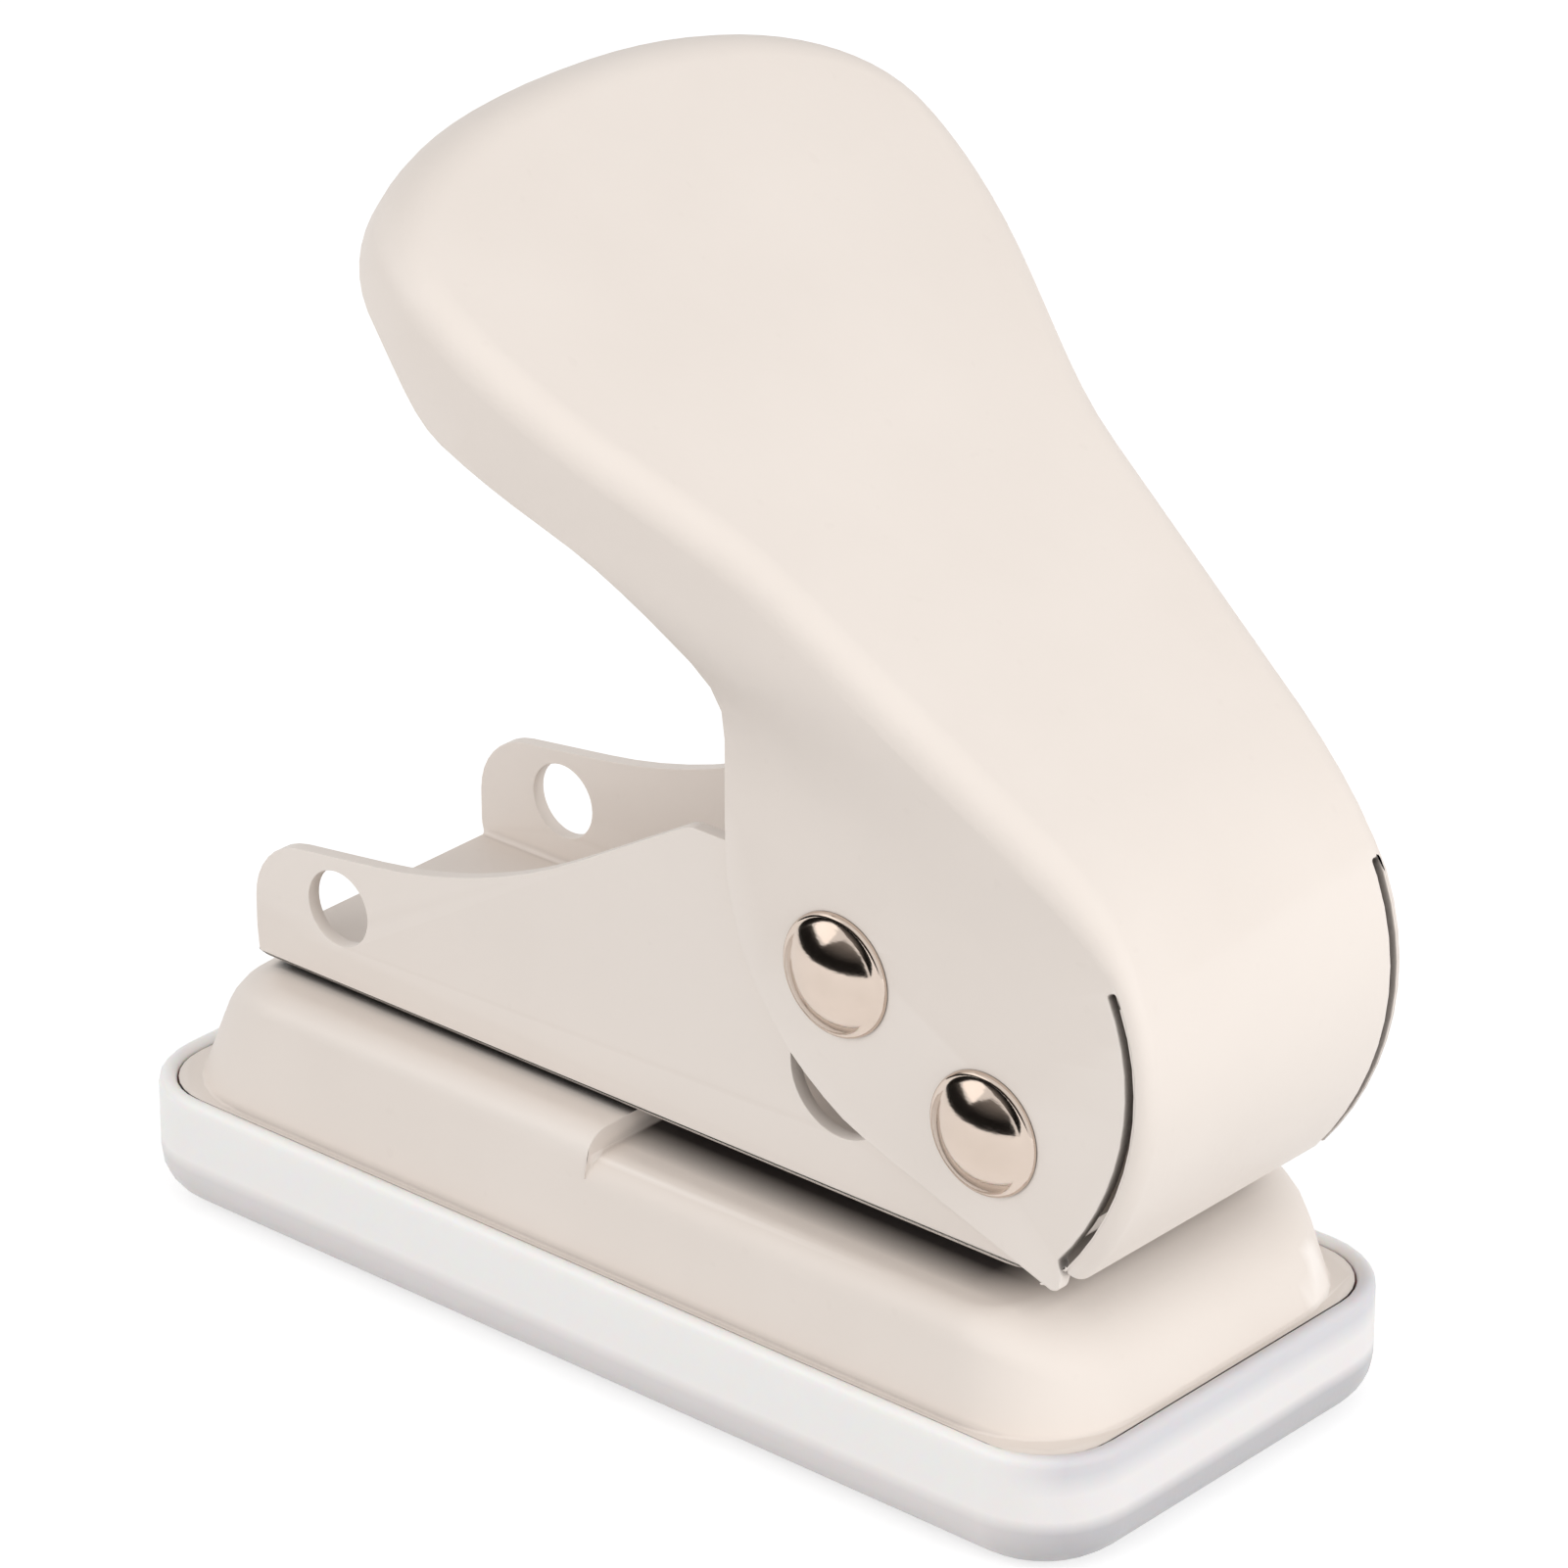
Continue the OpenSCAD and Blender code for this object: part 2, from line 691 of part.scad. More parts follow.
stations = concat(
    [for (k = [wall_n:-1:0]) wall_station(k / wall_n)],
    [for (k = [1:pad_n]) pad_station(k)],
    [for (k = [1:end_n]) end_station(k)]
);

// Points across the sheet at one station: lower edge, outer fold, inner fold, lower edge inside
function sheet_loop(s) =
    let (m = s[0] + (s[1] + s[2]) * s[3])
    concat(
        [s[4]],
        s[5],
        [for (k = [0:fold_n]) let (a = 90 * k / fold_n) m - s[3] * (cos(a) * s[1] + sin(a) * s[2])],
        [for (k = [fold_n:-1:0])
            let (a = 90 * k / fold_n) m - (s[3] - lever_sheet) * (cos(a) * s[1] + sin(a) * s[2])],
        [for (k = [mid_n - 1:-1:0]) s[5][k] + s[1] * lever_sheet],
        [s[4] + s[1] * lever_sheet]
    );

module lever_shell() {
    half = len(stations) - 1;
    last = 2 * half;
    wide = 2 * (fold_n + mid_n) + 4;
    flat = fold_n + mid_n + 1;
    loops = [for (s = stations) sheet_loop(s)];
    far_side = [for (k = [0:half]) each loops[k]];
    near_side = [for (k = [half - 1:-1:0]) each [for (p = loops[k]) [p.x, -p.y, p.z]]];
    strips = [for (k = [0:last - 1], c = [0:wide - 1])
        let (a = k * wide + c, b = k * wide + (c + 1) % wide)
        if (c != flat) each [[a, b, b + wide], [a, b + wide, a + wide]]];
    tops = [for (k = [0:half - 1])
        let (a = k * wide + flat, b = a + wide, d = (last - k) * wide + flat, e = d - wide)
        each concat(
            [[b, a, d], [a + 1, b + 1, d + 1]],
            b == e ? [] : [[b, d, e], [b + 1, e + 1, d + 1]]
        )];
    far_end = [for (c = [0:flat - 1])
        each [[c + 1, c, wide - 1 - c], [c + 1, wide - 1 - c, wide - 2 - c]]];
    near_end = [for (c = [0:flat - 1])
        let (z = last * wide)
        each [[z + c, z + c + 1, z + wide - 2 - c], [z + c, z + wide - 2 - c, z + wide - 1 - c]]];
    foot = let (z = last * wide) [[flat, flat + 1, z + flat + 1], [flat, z + flat + 1, z + flat]];
    polyhedron(concat(far_side, near_side), concat(strips, tops, far_end, near_end, foot));
}

// Corner of a side wall below the rolled back
module heel_outline() {
    front = heel + unit(toe - heel) * 3 * heel_lap + [0, slit_lap];
    fold_end = back_foot + back_inward(1) * (lever_sheet + least_r);
    rear = heel + (fold_end - heel) * 0.9;
    polygon(concat(fillet(front, heel, rear, heel_r), [rear, front + rear - heel, front]));
}

// Band along the lower part of the rolled back, between two depths below its outer face, and its way out
module slit_band(from, to, way_out) {
    steps = [for (k = [0:12]) 1 - slit_share + slit_share * k / 12];
    outside = [for (t = steps) back_at(t) + back_inward(t) * from];
    inside = [for (k = [12:-1:0]) back_at(steps[k]) + back_inward(steps[k]) * to];
    polygon(concat(outside, way_out, inside));
}

// Near slit in the side wall, under the back's sheet, and far slit in the back, beside the wall
module slits() {
    down = unit(back_at(1) - back_at(0.99));
    in = back_inward(1);
    under = lever_sheet + least_r + slit_lap;
    through = lever_sheet + slit_w;
    beside = wall_in + slit_lap;
    along_y(-2 * wall_out, slit_w - wall_in)
        slit_band(under, under + slit_w, [back_foot + down * over]);
    along_y(beside - slit_w, beside)
        slit_band(-over, through, [for (d = [-over, through]) back_foot + in * d + down * 3 * over]);
}

module lever() {
    color(cream) translate([pivot_x, 0, pivot_z]) difference() {
        union() {
            lever_shell();
            for (y = [-wall_out, wall_in]) along_y(y, y + lever_sheet) heel_outline();
        }
        slits();
        cross_bar(0, 0, pivot_d + 2 * pin_play, 4 * wall_out);
        cross_bar(drive_x - pivot_x, drive_z - pivot_z, drive_d + 2 * pin_play, 4 * wall_out);
    }
}

// Pins with a domed head on each lever wall

module dome() {
    ball_r = (head_h * head_h + head_d * head_d / 4) / (2 * head_h);
    intersection() {
        translate([0, 0, head_h - ball_r]) sphere(r = ball_r);
        cylinder(d = head_d, h = head_h + over);
    }
}

module domed_pin(x, z, d) {
    head_at = wall_out + pin_play;
    color(steel) translate([x, 0, z]) union() {
        rotate([90, 0, 0]) cylinder(d = d, h = 2 * head_at, center = true);
        translate([0, head_at, 0]) rotate([-90, 0, 0]) dome();
        translate([0, -head_at, 0]) rotate([90, 0, 0]) dome();
    }
}

module pivot_pin() {
    domed_pin(pivot_x, pivot_z, pivot_d);
}

module drive_pin() {
    domed_pin(drive_x, drive_z, drive_d);
}

module drive_spacer() {
    color(steel) difference() {
        cross_bar(drive_x, drive_z, drive_tube_d, 2 * (wall_in - pin_play));
        cross_bar(drive_x, drive_z, drive_d + 2 * pin_play, 4 * wall_out);
    }
}

chip_tray();
base_shell();
die_bush();
frame();
front_base_rivet();
rear_base_rivet();
guide_bush();
pivot_spacer();
return_spring();
punch();
lever();
pivot_pin();
drive_pin();
drive_spacer();
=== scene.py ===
import bpy
import math
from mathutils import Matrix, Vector


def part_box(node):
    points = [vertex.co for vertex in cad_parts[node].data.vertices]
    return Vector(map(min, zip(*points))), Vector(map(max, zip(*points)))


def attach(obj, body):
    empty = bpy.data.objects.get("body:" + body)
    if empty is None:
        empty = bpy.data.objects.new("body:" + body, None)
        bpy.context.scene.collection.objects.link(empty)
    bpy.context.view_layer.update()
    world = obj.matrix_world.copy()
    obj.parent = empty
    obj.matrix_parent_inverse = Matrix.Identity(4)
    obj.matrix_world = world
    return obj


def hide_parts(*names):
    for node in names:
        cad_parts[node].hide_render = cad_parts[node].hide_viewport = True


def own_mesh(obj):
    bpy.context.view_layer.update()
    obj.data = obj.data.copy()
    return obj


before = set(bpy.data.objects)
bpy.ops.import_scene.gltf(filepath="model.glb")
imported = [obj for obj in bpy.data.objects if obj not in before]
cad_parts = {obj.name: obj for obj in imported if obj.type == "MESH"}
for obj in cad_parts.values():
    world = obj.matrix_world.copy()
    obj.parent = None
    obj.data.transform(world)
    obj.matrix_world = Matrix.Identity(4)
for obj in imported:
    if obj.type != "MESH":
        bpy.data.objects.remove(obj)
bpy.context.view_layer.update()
scene = bpy.context.scene
mm = 0.001

# camera, fitted to the outline of the tray, frame and lever
shot = {"azimuth": 41.27, "elevation": 25.54, "distance": 473.4, "aim": (2.64, 0, 35.54),
        "lens": 178.5, "sensor": 36, "near": 0.01, "far": 20}


def towards(azimuth, elevation):
    a, e = math.radians(azimuth), math.radians(elevation)
    return Vector((math.sin(a) * math.cos(e), -math.cos(a) * math.cos(e), math.sin(e)))


def facing(way):
    return way.to_track_quat("Z", "Y").to_euler()


back = towards(shot["azimuth"], shot["elevation"])
bpy.ops.object.select_all(action="DESELECT")
bpy.ops.object.camera_add(
    location=(Vector(shot["aim"]) + back * shot["distance"]) * mm, rotation=facing(back))
camera = bpy.context.object
camera.data.lens = shot["lens"]
camera.data.sensor_width = shot["sensor"]
camera.data.clip_start = shot["near"]
camera.data.clip_end = shot["far"]
scene.camera = camera
print("camera set")


# shader maths: a Tap is one output socket, and sums of taps become Math nodes
class Tap:
    def __init__(self, tree, socket=None):
        self.tree = tree
        self.socket = socket

    def node(self, kind, settings, sockets, out=0):
        made = self.tree.nodes.new(kind)
        for name, value in settings.items():
            setattr(made, name, value)
        for name, value in sockets.items():
            if isinstance(value, Tap):
                self.tree.links.new(value.socket, made.inputs[name])
            else:
                made.inputs[name].default_value = value
        return Tap(self.tree, made.outputs[out] if made.outputs else None)

    def sum(self, how, a, b):
        return self.node("ShaderNodeMath", {"operation": how}, {0: a, 1: b})

    def __add__(self, other):
        return self.sum("ADD", self, other)

    def __radd__(self, other):
        return self.sum("ADD", other, self)

    def __sub__(self, other):
        return self.sum("SUBTRACT", self, other)

    def __rsub__(self, other):
        return self.sum("SUBTRACT", other, self)

    def __mul__(self, other):
        return self.sum("MULTIPLY", self, other)

    def __rmul__(self, other):
        return self.sum("MULTIPLY", other, self)


def newMaterial(name):
    made = bpy.data.materials.new(name)
    made.use_nodes = True
    made.node_tree.nodes.clear()
    return made, Tap(made.node_tree)


def place(tap, stretch=(1, 1, 1)):
    spot = tap.node("ShaderNodeTexCoord", {}, {}, "Object")
    return tap.node("ShaderNodeMapping", {"vector_type": "TEXTURE"}, {"Vector": spot, "Scale": stretch})


# one axis of a place, in millimetres
def reading(tap, where, axis):
    return tap.node("ShaderNodeSeparateXYZ", {}, {"Vector": where}, axis) * (1 / mm)


def noise(tap, where, size, detail):
    return tap.node("ShaderNodeTexNoise", {},
                    {"Vector": where, "Scale": 1 / (size * mm), "Detail": detail}, "Fac")


def blend(tap, share, low, high):
    return tap.node("ShaderNodeMix", {"data_type": "RGBA"}, {0: share, 6: low, 7: high}, 2)


def spread(tap, value, low, high):
    return tap.node("ShaderNodeMapRange", {}, {"Value": value, "From Min": low, "From Max": high})


def bump(tap, height, depth):
    return tap.node("ShaderNodeBump", {}, {"Height": height, "Distance": depth * mm})


def shown(tap, shader):
    tap.node("ShaderNodeOutputMaterial", {}, {"Surface": shader})


def surface(tap, sockets):
    shown(tap, tap.node("ShaderNodeBsdfPrincipled", {}, sockets))


# cream satin enamel on pressed sheet: paler and smoother along the edges, partly wear and partly a
# painted highlight, with painted shade darkening the crevices
enamel = {
    "pale": (0.81, 0.735, 0.675, 1), "deep": (0.775, 0.70, 0.64, 1), "edge": (0.95, 0.89, 0.84, 1),
    "patch": 14, "peel": 0.55, "speck": 0.9, "dots": (0.80, 0.86), "tone": (0.3, 0.7),
    "toneShare": 0.7, "dotShare": 0.3, "rubAndSheen": (0.525, 0.60), "wearAndSheen": 0.45, "patchyWearAndSheen": 0.5,
    "gloss": 0.44, "cloudRough": 0.08, "peelRough": 0.05, "wornSmooth": 0.1,
    "relief": 0.012, "dotRelief": 0.4, "coat": 0.12, "coatRough": 0.5,
    "shadeColour": (0.035, 0.028, 0.026, 1), "crevice": 1.4, "shadeRange": (0.62, 0.25), "rays": 8}

# shade in the mouth, on the bed under the frame
mouth = {"in": (11.9, 8.8), "low": (14.0, 14.3), "high": (15.4, 14.9),
         "end": (33, 27), "start": (-0.6, -0.3)}


def creamEnamel(name, withMouth):
    made, tap = newMaterial(name)
    where = place(tap)
    cloud = noise(tap, where, enamel["patch"], 3.0)
    peel = noise(tap, where, enamel["peel"], 2.0)
    grit = noise(tap, where, enamel["speck"], 0.0)
    dots = spread(tap, grit, *enamel["dots"])
    tone = spread(tap, cloud, *enamel["tone"])
    # edges paler and smoother by pointiness: partly wear, partly a painted highlight along the edges
    sharp = tap.node("ShaderNodeNewGeometry", {}, {}, "Pointiness")
    wornAndSheen = spread(tap, sharp, *enamel["rubAndSheen"]) * (enamel["wearAndSheen"] + enamel["patchyWearAndSheen"] * cloud)
    mottle = tone * enamel["toneShare"] + dots * enamel["dotShare"]
    colour = blend(tap, mottle, enamel["pale"], enamel["deep"])
    rubbedAndSheen = blend(tap, wornAndSheen, colour, enamel["edge"])
    # painted shade: ambient occlusion darkens crevices and gaps between parts towards the shade colour
    clear = tap.node("ShaderNodeAmbientOcclusion", {"samples": enamel["rays"]},
                     {"Distance": enamel["crevice"] * mm}, "AO")
    paintedShade = spread(tap, clear, *enamel["shadeRange"])
    # painted shade in the mouth, darkest deep under the frame's floor; it joins the painted crevice
    # shade
    if withMouth:
        along, across, up = [reading(tap, where, axis) for axis in "XYZ"]
        side = tap.node("ShaderNodeMath", {"operation": "ABSOLUTE"}, {0: across})
        shade = spread(tap, side, *mouth["in"]) * spread(tap, up, *mouth["low"])
        shade = shade * spread(tap, up, *mouth["high"]) * spread(tap, along, *mouth["end"])
        shade = shade * spread(tap, along, *mouth["start"])
        paintedShade = tap.sum("MAXIMUM", paintedShade, shade)
    rough = enamel["gloss"] + enamel["cloudRough"] * cloud + enamel["peelRough"] * peel
    surface(tap, {
        "Base Color": blend(tap, paintedShade, rubbedAndSheen, enamel["shadeColour"]),
        "Roughness": rough - enamel["wornSmooth"] * wornAndSheen,
        "Normal": bump(tap, peel + enamel["dotRelief"] * dots, enamel["relief"]),
        "Coat Weight": enamel["coat"],
        "Coat Roughness": enamel["coatRough"]})
    return made


# frosted plastic of the tray, with painted shade: greyer below where only the hollow is behind it,
# darker at the end, and grey-blue along the lip there
frost = {
    "tint": (0.985, 0.945, 0.925, 1), "shade": (0.95, 0.915, 0.895, 1), "low": (0.77, 0.735, 0.73, 1),
    "end": (0.83, 0.80, 0.795, 1), "lowEndShade": (0.52, 0.51, 0.525, 1), "lip": (0.66, 0.655, 0.68, 1),
    "lowBand": (4.2, 3.3), "lowSway": 0.5, "lipBand": (5.6, 7.0), "endBand": (33, 37.6),
    "flow": 9, "flowStretch": (3, 1, 1), "grain": 0.25, "rough": 0.30, "grainRough": 0.12,
    "relief": 0.006, "through": 0.03, "milk": 0.25, "milkDeep": 2, "bend": 1.49}


def frostedPlastic():
    made, tap = newMaterial("frostedPlastic")
    where = place(tap)
    flow = noise(tap, place(tap, frost["flowStretch"]), frost["flow"], 2.0)
    grain = noise(tap, where, frost["grain"], 1.0)
    up = reading(tap, where, "Z")
    along = reading(tap, where, "X")
    # painted shade: the end darker, the foot greyer and the lip at the end grey-blue
    endShadeMask = spread(tap, along, *frost["endBand"])
    footShadeMask = spread(tap, up + frost["lowSway"] * flow, *frost["lowBand"])
    lipShadeMask = spread(tap, up, *frost["lipBand"]) * endShadeMask
    side = blend(tap, footShadeMask, blend(tap, flow, frost["tint"], frost["shade"]), frost["low"])
    end = blend(tap, lipShadeMask, blend(tap, footShadeMask, frost["end"], frost["lowEndShade"]), frost["lip"])
    surface(tap, {
        "Base Color": blend(tap, endShadeMask, side, end),
        "Roughness": frost["rough"] + frost["grainRough"] * grain,
        "Normal": bump(tap, grain + flow, frost["relief"]),
        "Transmission Weight": frost["through"],
        "Subsurface Weight": frost["milk"],
        "Subsurface Scale": frost["milkDeep"] * mm,
        "IOR": frost["bend"]})
    return made


# polished nickel of the pin heads
nickel = {"bright": (0.68, 0.575, 0.50, 1), "dull": (0.61, 0.51, 0.435, 1), "smear": 2.2,
          "hair": 0.12, "hairStretch": (8, 1, 1), "rough": 0.06, "smearRough": 0.07,
          "hairRough": 0.03, "relief": 0.002}


def polishedNickel():
    made, tap = newMaterial("polishedNickel")
    smear = noise(tap, place(tap), nickel["smear"], 3.0)
    hair = noise(tap, place(tap, nickel["hairStretch"]), nickel["hair"], 1.0)
    surface(tap, {
        "Base Color": blend(tap, smear, nickel["bright"], nickel["dull"]),
        "Roughness": nickel["rough"] + nickel["smearRough"] * smear + nickel["hairRough"] * hair,
        "Metallic": 1.0,
        "Normal": bump(tap, hair, nickel["relief"])})
    return made


# turned steel of bushes, spacers, punch and base rivets
turning = {"bright": (0.62, 0.61, 0.60, 1), "dark": (0.44, 0.43, 0.42, 1), "stain": 3,
           "pitch": 0.18, "lineStretch": (40, 40, 1), "stainShare": 0.8, "lineShare": 0.2,
           "rough": 0.24, "stainRough": 0.12, "lineRough": 0.08, "relief": 0.006}


def turnedSteel():
    made, tap = newMaterial("turnedSteel")
    stain = noise(tap, place(tap), turning["stain"], 4.0)
    lines = noise(tap, place(tap, turning["lineStretch"]), turning["pitch"], 1.0)
    mottle = stain * turning["stainShare"] + lines * turning["lineShare"]
    surface(tap, {
        "Base Color": blend(tap, mottle, turning["bright"], turning["dark"]),
        "Roughness": turning["rough"] + turning["stainRough"] * stain + turning["lineRough"] * lines,
        "Metallic": 1.0,
        "Normal": bump(tap, lines, turning["relief"])})
    return made


# drawn wire of the spring
wireLook = {"bright": (0.55, 0.54, 0.52, 1), "dark": (0.30, 0.29, 0.28, 1), "streak": 0.3,
            "streakStretch": (1, 1, 0.3), "oil": 2.5, "share": 0.5, "rough": 0.2, "oilRough": 0.2,
            "relief": 0.004}


def drawnWire():
    made, tap = newMaterial("drawnWire")
    streak = noise(tap, place(tap, wireLook["streakStretch"]), wireLook["streak"], 2.0)
    oil = noise(tap, place(tap), wireLook["oil"], 2.0)
    mottle = streak * wireLook["share"] + oil * wireLook["share"]
    surface(tap, {
        "Base Color": blend(tap, mottle, wireLook["bright"], wireLook["dark"]),
        "Roughness": wireLook["rough"] + wireLook["oilRough"] * oil,
        "Metallic": 1.0,
        "Normal": bump(tap, streak, wireLook["relief"])})
    return made


cream = creamEnamel("creamEnamel", False)
baseCream = creamEnamel("creamEnamelBase", True)
plastic = frostedPlastic()
bright = polishedNickel()
steel = turnedSteel()
wire = drawnWire()
print("materials made")


def alone(piece):
    bpy.ops.object.select_all(action="DESELECT")
    piece.select_set(True)
    bpy.context.view_layer.objects.active = piece


def finishPiece(piece, name, look, body, nodes):
    piece.name = name
    piece.data.name = name
    piece.data.materials.clear()
    piece.data.materials.append(look)
    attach(piece, body)
    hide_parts(*nodes)


# pressed and moulded pieces: the CAD form, welded, its sharp edges eased
def welded(node, settings):
    piece = bpy.data.objects.new(node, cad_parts[node].data.copy())
    scene.collection.objects.link(piece)
    alone(piece)
    bpy.ops.mesh.customdata_custom_splitnormals_clear()
    bpy.ops.object.mode_set(mode="EDIT")
    bpy.ops.mesh.select_all(action="SELECT")
    bpy.ops.mesh.remove_doubles(threshold=settings["weld"] * mm)
    bpy.ops.mesh.dissolve_limited(angle_limit=math.radians(settings["flat"]))
    bpy.ops.object.mode_set(mode="OBJECT")
    return piece


def eased(piece, settings):
    ease = piece.modifiers.new("ease", "BEVEL")
    ease.width = settings["edge"] * mm
    ease.segments = settings["steps"]
    ease.limit_method = "ANGLE"
    ease.angle_limit = math.radians(settings["from"])
    ease.use_clamp_overlap = False
    ease.miter_outer = "MITER_ARC"
    bpy.ops.object.modifier_apply(modifier="ease")
    bpy.ops.object.shade_smooth_by_angle(angle=math.radians(settings["smooth"]))
    even = piece.modifiers.new("even", "WEIGHTED_NORMAL")
    even.keep_sharp = True
    bpy.ops.object.modifier_apply(modifier="even")
    return piece


# base: shoulders drawn tighter along the sides than at the ends, the foot spread out to the tray,
# both ends leaning in, and the deck lowered under the frame
shoulder = {
    "halfLong": 37, "halfWide": 15.25, "corner": 7.2, "foot": 6.1, "draft": 4, "cad": 4.6, "tight": 2.0,
    "tops": (16.5, 14.5), "cuts": (10.221, 10.151), "weld": 0.004, "near": 0.02, "slack": 0.01,
    "spread": 0.35, "rise": 1.7, "spreadTo": 14.6, "brim": 0.16, "brimIn": 0.5,
    "mouthLean": 15, "frontLean": 17, "leanFrom": 8.5, "leanPast": 25,
    "deckPast": -0.45, "deckDrop": 0.45, "dropFrom": 14.64}


def tightened(piece):
    bpy.ops.object.mode_set(mode="EDIT")
    for cut in shoulder["cuts"]:
        bpy.ops.mesh.select_all(action="SELECT")
        bpy.ops.mesh.bisect(plane_co=(0, 0, cut * mm), plane_no=(0, 0, 1))
    bpy.ops.mesh.select_all(action="SELECT")
    bpy.ops.mesh.remove_doubles(threshold=shoulder["weld"] * mm)
    bpy.ops.object.mode_set(mode="OBJECT")
    slope = math.tan(math.radians(shoulder["draft"]))
    mouthTilt = math.tan(math.radians(shoulder["mouthLean"]))
    frontTilt = math.tan(math.radians(shoulder["frontLean"]))
    near, slack = shoulder["near"], shoulder["slack"]
    deck = shoulder["tops"][0]
    radius = shoulder["cad"]
    footTo = shoulder["foot"] + shoulder["rise"]
    spreadTo, dropFrom = shoulder["spreadTo"], shoulder["dropFrom"]
    for vertex in piece.data.vertices:
        x, y, z = vertex.co / mm
        outX = max(abs(x) - shoulder["halfLong"] + shoulder["corner"], 0)
        outY = max(abs(y) - shoulder["halfWide"] + shoulder["corner"], 0)
        reach = math.hypot(outX, outY)
        inset = shoulder["corner"] - reach
        grow = 0
        outer = False
        for top in shoulder["tops"]:
            edge = (top - shoulder["foot"]) * slope
            across = inset - (edge - radius * slope + radius * math.sqrt(1 + slope * slope))
            off = abs(math.hypot(across, z - top + radius) - radius)
            if reach > 0 and off < near and across < slack and z > top - radius:
                share = 1 - (1 - shoulder["tight"] / radius) * (outY / reach) ** 2
                grow = (inset - edge) * (1 - share)
                z = top + (z - top) * share
                outer = True
                break
        if abs(z - shoulder["foot"]) < near and inset < shoulder["brimIn"]:
            z = footTo
            outer = abs(inset) < near
            if not outer:
                x += math.copysign(shoulder["brim"] * outX / reach, x)
                y += math.copysign(shoulder["brim"] * outY / reach, y)
        if outer:
            grow += shoulder["spread"] * max(spreadTo - z, 0) / (spreadTo - footTo)
            x += math.copysign(outX / reach, x) * grow
            y += math.copysign(outY / reach, y) * grow
        if x < shoulder["deckPast"] and z > dropFrom and (outer or z > deck - slack):
            z -= shoulder["deckDrop"] * (z - dropFrom) / (deck - dropFrom)
        if x > shoulder["leanPast"]:
            x -= max(z - shoulder["leanFrom"], 0) * mouthTilt
        elif x < -shoulder["leanPast"]:
            x += max(z - shoulder["leanFrom"], 0) * frontTilt
        vertex.co = Vector((x, y, z)) * mm
    return piece


# frame: the fold under each cheek drawn tight
fold = {"cheek": 10.9, "floor": 16.5, "cad": 1.3, "tight": 0.35, "near": 0.02, "slack": 0.01}


def folded(piece):
    share = fold["tight"] / fold["cad"]
    midY = fold["cheek"] - fold["cad"]
    midZ = fold["floor"] + fold["cad"]
    for vertex in piece.data.vertices:
        x, y, z = vertex.co / mm
        off = abs(math.hypot(abs(y) - midY, z - midZ) - fold["cad"])
        if abs(y) > midY - fold["slack"] and z < midZ + fold["slack"] and off < fold["near"]:
            y = math.copysign(fold["cheek"] + (abs(y) - fold["cheek"]) * share, y)
            z = fold["floor"] + (z - fold["floor"]) * share
            vertex.co = Vector((x, y, z)) * mm
    return piece


pressing = {
    "lever": {"weld": 0.004, "flat": 0.2, "edge": 0.16, "steps": 2, "from": 40, "smooth": 38},
    "base_shell": {"weld": 0.004, "flat": 0.2, "edge": 0.16, "steps": 2, "from": 40, "smooth": 38},
    "frame": {"weld": 0.004, "flat": 0.2, "edge": 0.1, "steps": 2, "from": 40, "smooth": 38},
    "chip_tray": {"weld": 0.004, "flat": 0.2, "edge": 0.2, "steps": 2, "from": 50, "smooth": 40}}

for node, name, look, body, slot in [
        ("lever", "leverStamping", cream, "lever", "cream_paint"),
        ("base_shell", "baseShell", baseCream, "base", "cream_paint"),
        ("frame", "frameBracket", cream, "base", "cream_paint"),
        ("chip_tray", "chipTray", plastic, "tray", "clear_plastic")]:
    piece = welded(node, pressing[node])
    if node == "base_shell":
        piece = tightened(piece)
    elif node == "frame":
        piece = folded(piece)
    finishPiece(eased(piece, pressing[node]), name, look, body, [node])
    print("eased", node)


# rivet pins: a domed head with a rolled rim on each side of the lever
pins = {"sides": 96, "tall": 1.9, "rim": 0.34, "dome": 14, "roll": 6, "pole": 0.02, "poleReach": 1.01,
        "neckWide": 0.2, "neckDeep": 0.05, "smooth": 35}


def pinProfile(node, shank):
    low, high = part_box(node)
    half = (high.y - low.y) / 2 / mm
    radius = (high.x - low.x) / 2 / mm
    tall, rim, pole = pins["tall"], pins["rim"], pins["pole"]
    ballR = (tall * tall + radius * radius) / (2 * tall)
    foot = -half + tall
    head = []
    for k in range(pins["dome"] + 1):
        r = pole + (radius - rim - pole) * k / pins["dome"]
        head.append((-half + ballR - math.sqrt(ballR * ballR - r * r), r))
    startH, startR = head[-1]
    for k in range(1, pins["roll"] + 1):
        turn = math.pi / 2 * k / pins["roll"]
        rimH = startH + (foot - startH) * (1 - math.cos(turn))
        head.append((rimH, startR + (radius - startR) * math.sin(turn)))
    head.append((foot, shank / 2 + pins["neckWide"]))
    head.append((foot + pins["neckDeep"], shank / 2))
    return head + [(-h, r) for h, r in reversed(head)]


